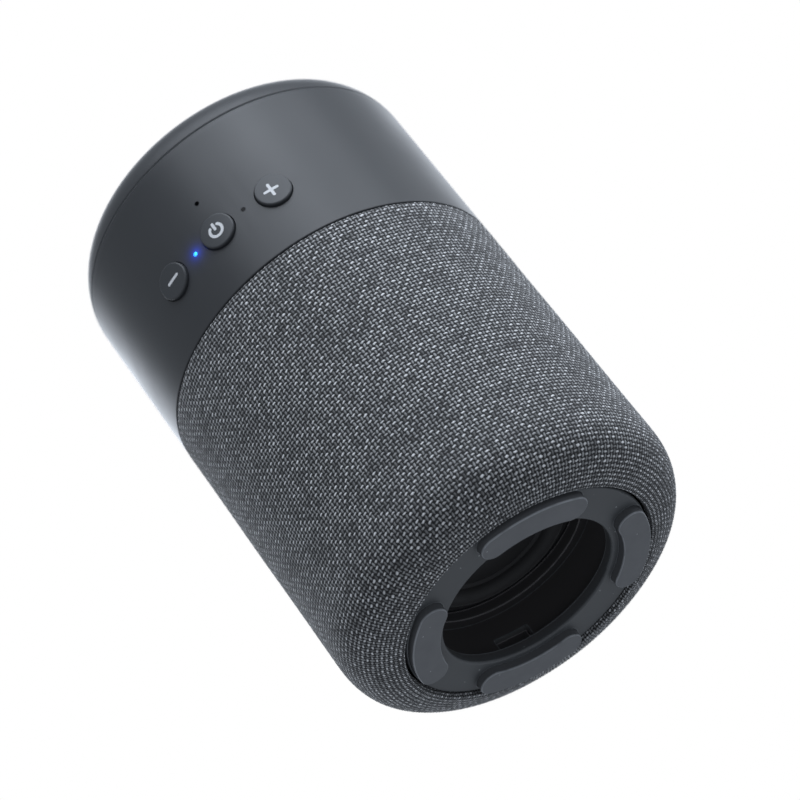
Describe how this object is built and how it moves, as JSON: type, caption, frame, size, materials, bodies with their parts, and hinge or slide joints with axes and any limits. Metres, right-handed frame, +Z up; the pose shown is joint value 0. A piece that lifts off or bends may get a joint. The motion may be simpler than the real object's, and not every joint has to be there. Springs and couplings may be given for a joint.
{
  "type": "portable bluetooth speaker",
  "caption": "Upright cylindrical portable speaker with a woven sleeve, a button band, a rounded top cover and a recessed passive radiator under its foot ring.",
  "frame": {"origin": "on the cylinder's axis, at the plane its foot pads rest on", "axes": "+Z up along the cylinder's axis; the buttons face -Y, the charging port faces +Y; +X is to the right seen from the buttons"},
  "size_m": [0.08, 0.0808, 0.1257],
  "materials": {
    "sleeve_fabric": "tight plain weave, charcoal",
    "shell_plastic": "satin charcoal",
    "button_plastic": "satin charcoal, white symbols",
    "ring_plastic": "fine matt texture",
    "foot_rubber": "soft matt",
    "inner_plastic": "black, moulded",
    "grille_plastic": "black, moulded",
    "gasket_foam": "closed-cell foam",
    "radiator_frame_plastic": "black",
    "surround_rubber": "smooth",
    "radiator_plate_plastic": "black",
    "weight_steel": "zinc plated",
    "basket_steel": "black paint",
    "magnetic_steel": "zinc plated",
    "ferrite": "ground ferrite",
    "coil_copper": "enamelled copper wire",
    "spider_cloth": "resin-dipped cloth",
    "cone_paper": "coated paper",
    "screw_steel": "zinc plated",
    "circuit_board": "solder mask",
    "flex_circuit": "polyimide film",
    "chip_black": "moulded epoxy",
    "switch_white": "moulded",
    "port_steel": "nickel plated",
    "cell_can": "steel can in a shrink wrap, stated as aluminium for its mean density",
    "cable_rubber": "twin lead",
    "light_blue": "clear pipe, lit blue",
    "light_clear": "smoked pipe, unlit",
    "led_chip": "surface-mount part"
  },
  "bodies": {
    "chassis": {"baffle": "inner_plastic", "band_screws": "screw_steel", "base_ring": "ring_plastic", "base_screws": "screw_steel", "battery_cable": "cable_rubber", "battery_cell": "cell_can", "battery_cradle": "inner_plastic", "battery_strap": "spider_cloth", "board_components": "chip_black", "board_screws": "screw_steel", "bracket_screws": "screw_steel", "button_board": "flex_circuit", "button_bracket": "inner_plastic", "charge_light_pipe": "light_clear", "diffuser": "inner_plastic", "driver_frame": "basket_steel", "driver_gasket": "gasket_foam", "driver_magnet": "ferrite", "driver_screws": "screw_steel", "driver_surround": "surround_rubber", "driver_top_plate": "magnetic_steel", "driver_yoke": "magnetic_steel", "fabric_sleeve": "sleeve_fabric", "foot_front": "foot_rubber", "foot_left": "foot_rubber", "foot_rear": "foot_rubber", "foot_right": "foot_rubber", "grille_frame": "grille_plastic", "housing_gasket": "gasket_foam", "led_chips": "led_chip", "lower_housing": "inner_plastic", "main_board": "circuit_board", "microphone": "chip_black", "microphone_boot": "gasket_foam", "mid_deck": "inner_plastic", "radiator_frame": "radiator_frame_plastic", "radiator_gasket": "gasket_foam", "radiator_surround": "surround_rubber", "speaker_cable": "cable_rubber", "spider": "spider_cloth", "stack_screws": "screw_steel", "status_light_pipe": "light_blue", "switch_bodies": "chip_black", "top_band": "shell_plastic", "top_cover": "shell_plastic", "usb_port": "port_steel"},
    "volume_down_button": {"volume_down_button": "button_plastic", "volume_down_plunger": "switch_white"},
    "power_button": {"power_button": "button_plastic", "power_plunger": "switch_white"},
    "volume_up_button": {"volume_up_button": "button_plastic", "volume_up_plunger": "switch_white"},
    "driver_diaphragm": {"driver_cone": "cone_paper", "dust_cap": "cone_paper", "voice_coil": "coil_copper"},
    "radiator_diaphragm": {"radiator_plate": "radiator_plate_plastic", "radiator_weight": "weight_steel"}
  },
  "joints": [
    {"name": "volume_down_press", "type": "slide", "parent": "chassis", "child": "volume_down_button", "axis": [0.3502, 0.9367, 0], "range_m": [0, 0.0004]},
    {"name": "power_press", "type": "slide", "parent": "chassis", "child": "power_button", "axis": [0, 1, 0], "range_m": [0, 0.0004]},
    {"name": "volume_up_press", "type": "slide", "parent": "chassis", "child": "volume_up_button", "axis": [-0.3502, 0.9367, 0], "range_m": [0, 0.0004]},
    {"name": "driver_excursion", "type": "slide", "parent": "chassis", "child": "driver_diaphragm", "axis": [0, 0, 1], "range_m": [-0.0015, 0.0015], "deforming": ["driver_surround", "spider"]},
    {"name": "radiator_excursion", "type": "slide", "parent": "chassis", "child": "radiator_diaphragm", "axis": [0, 0, 1], "range_m": [-0.0025, 0.0025], "deforming": ["radiator_surround"]}
  ]
}
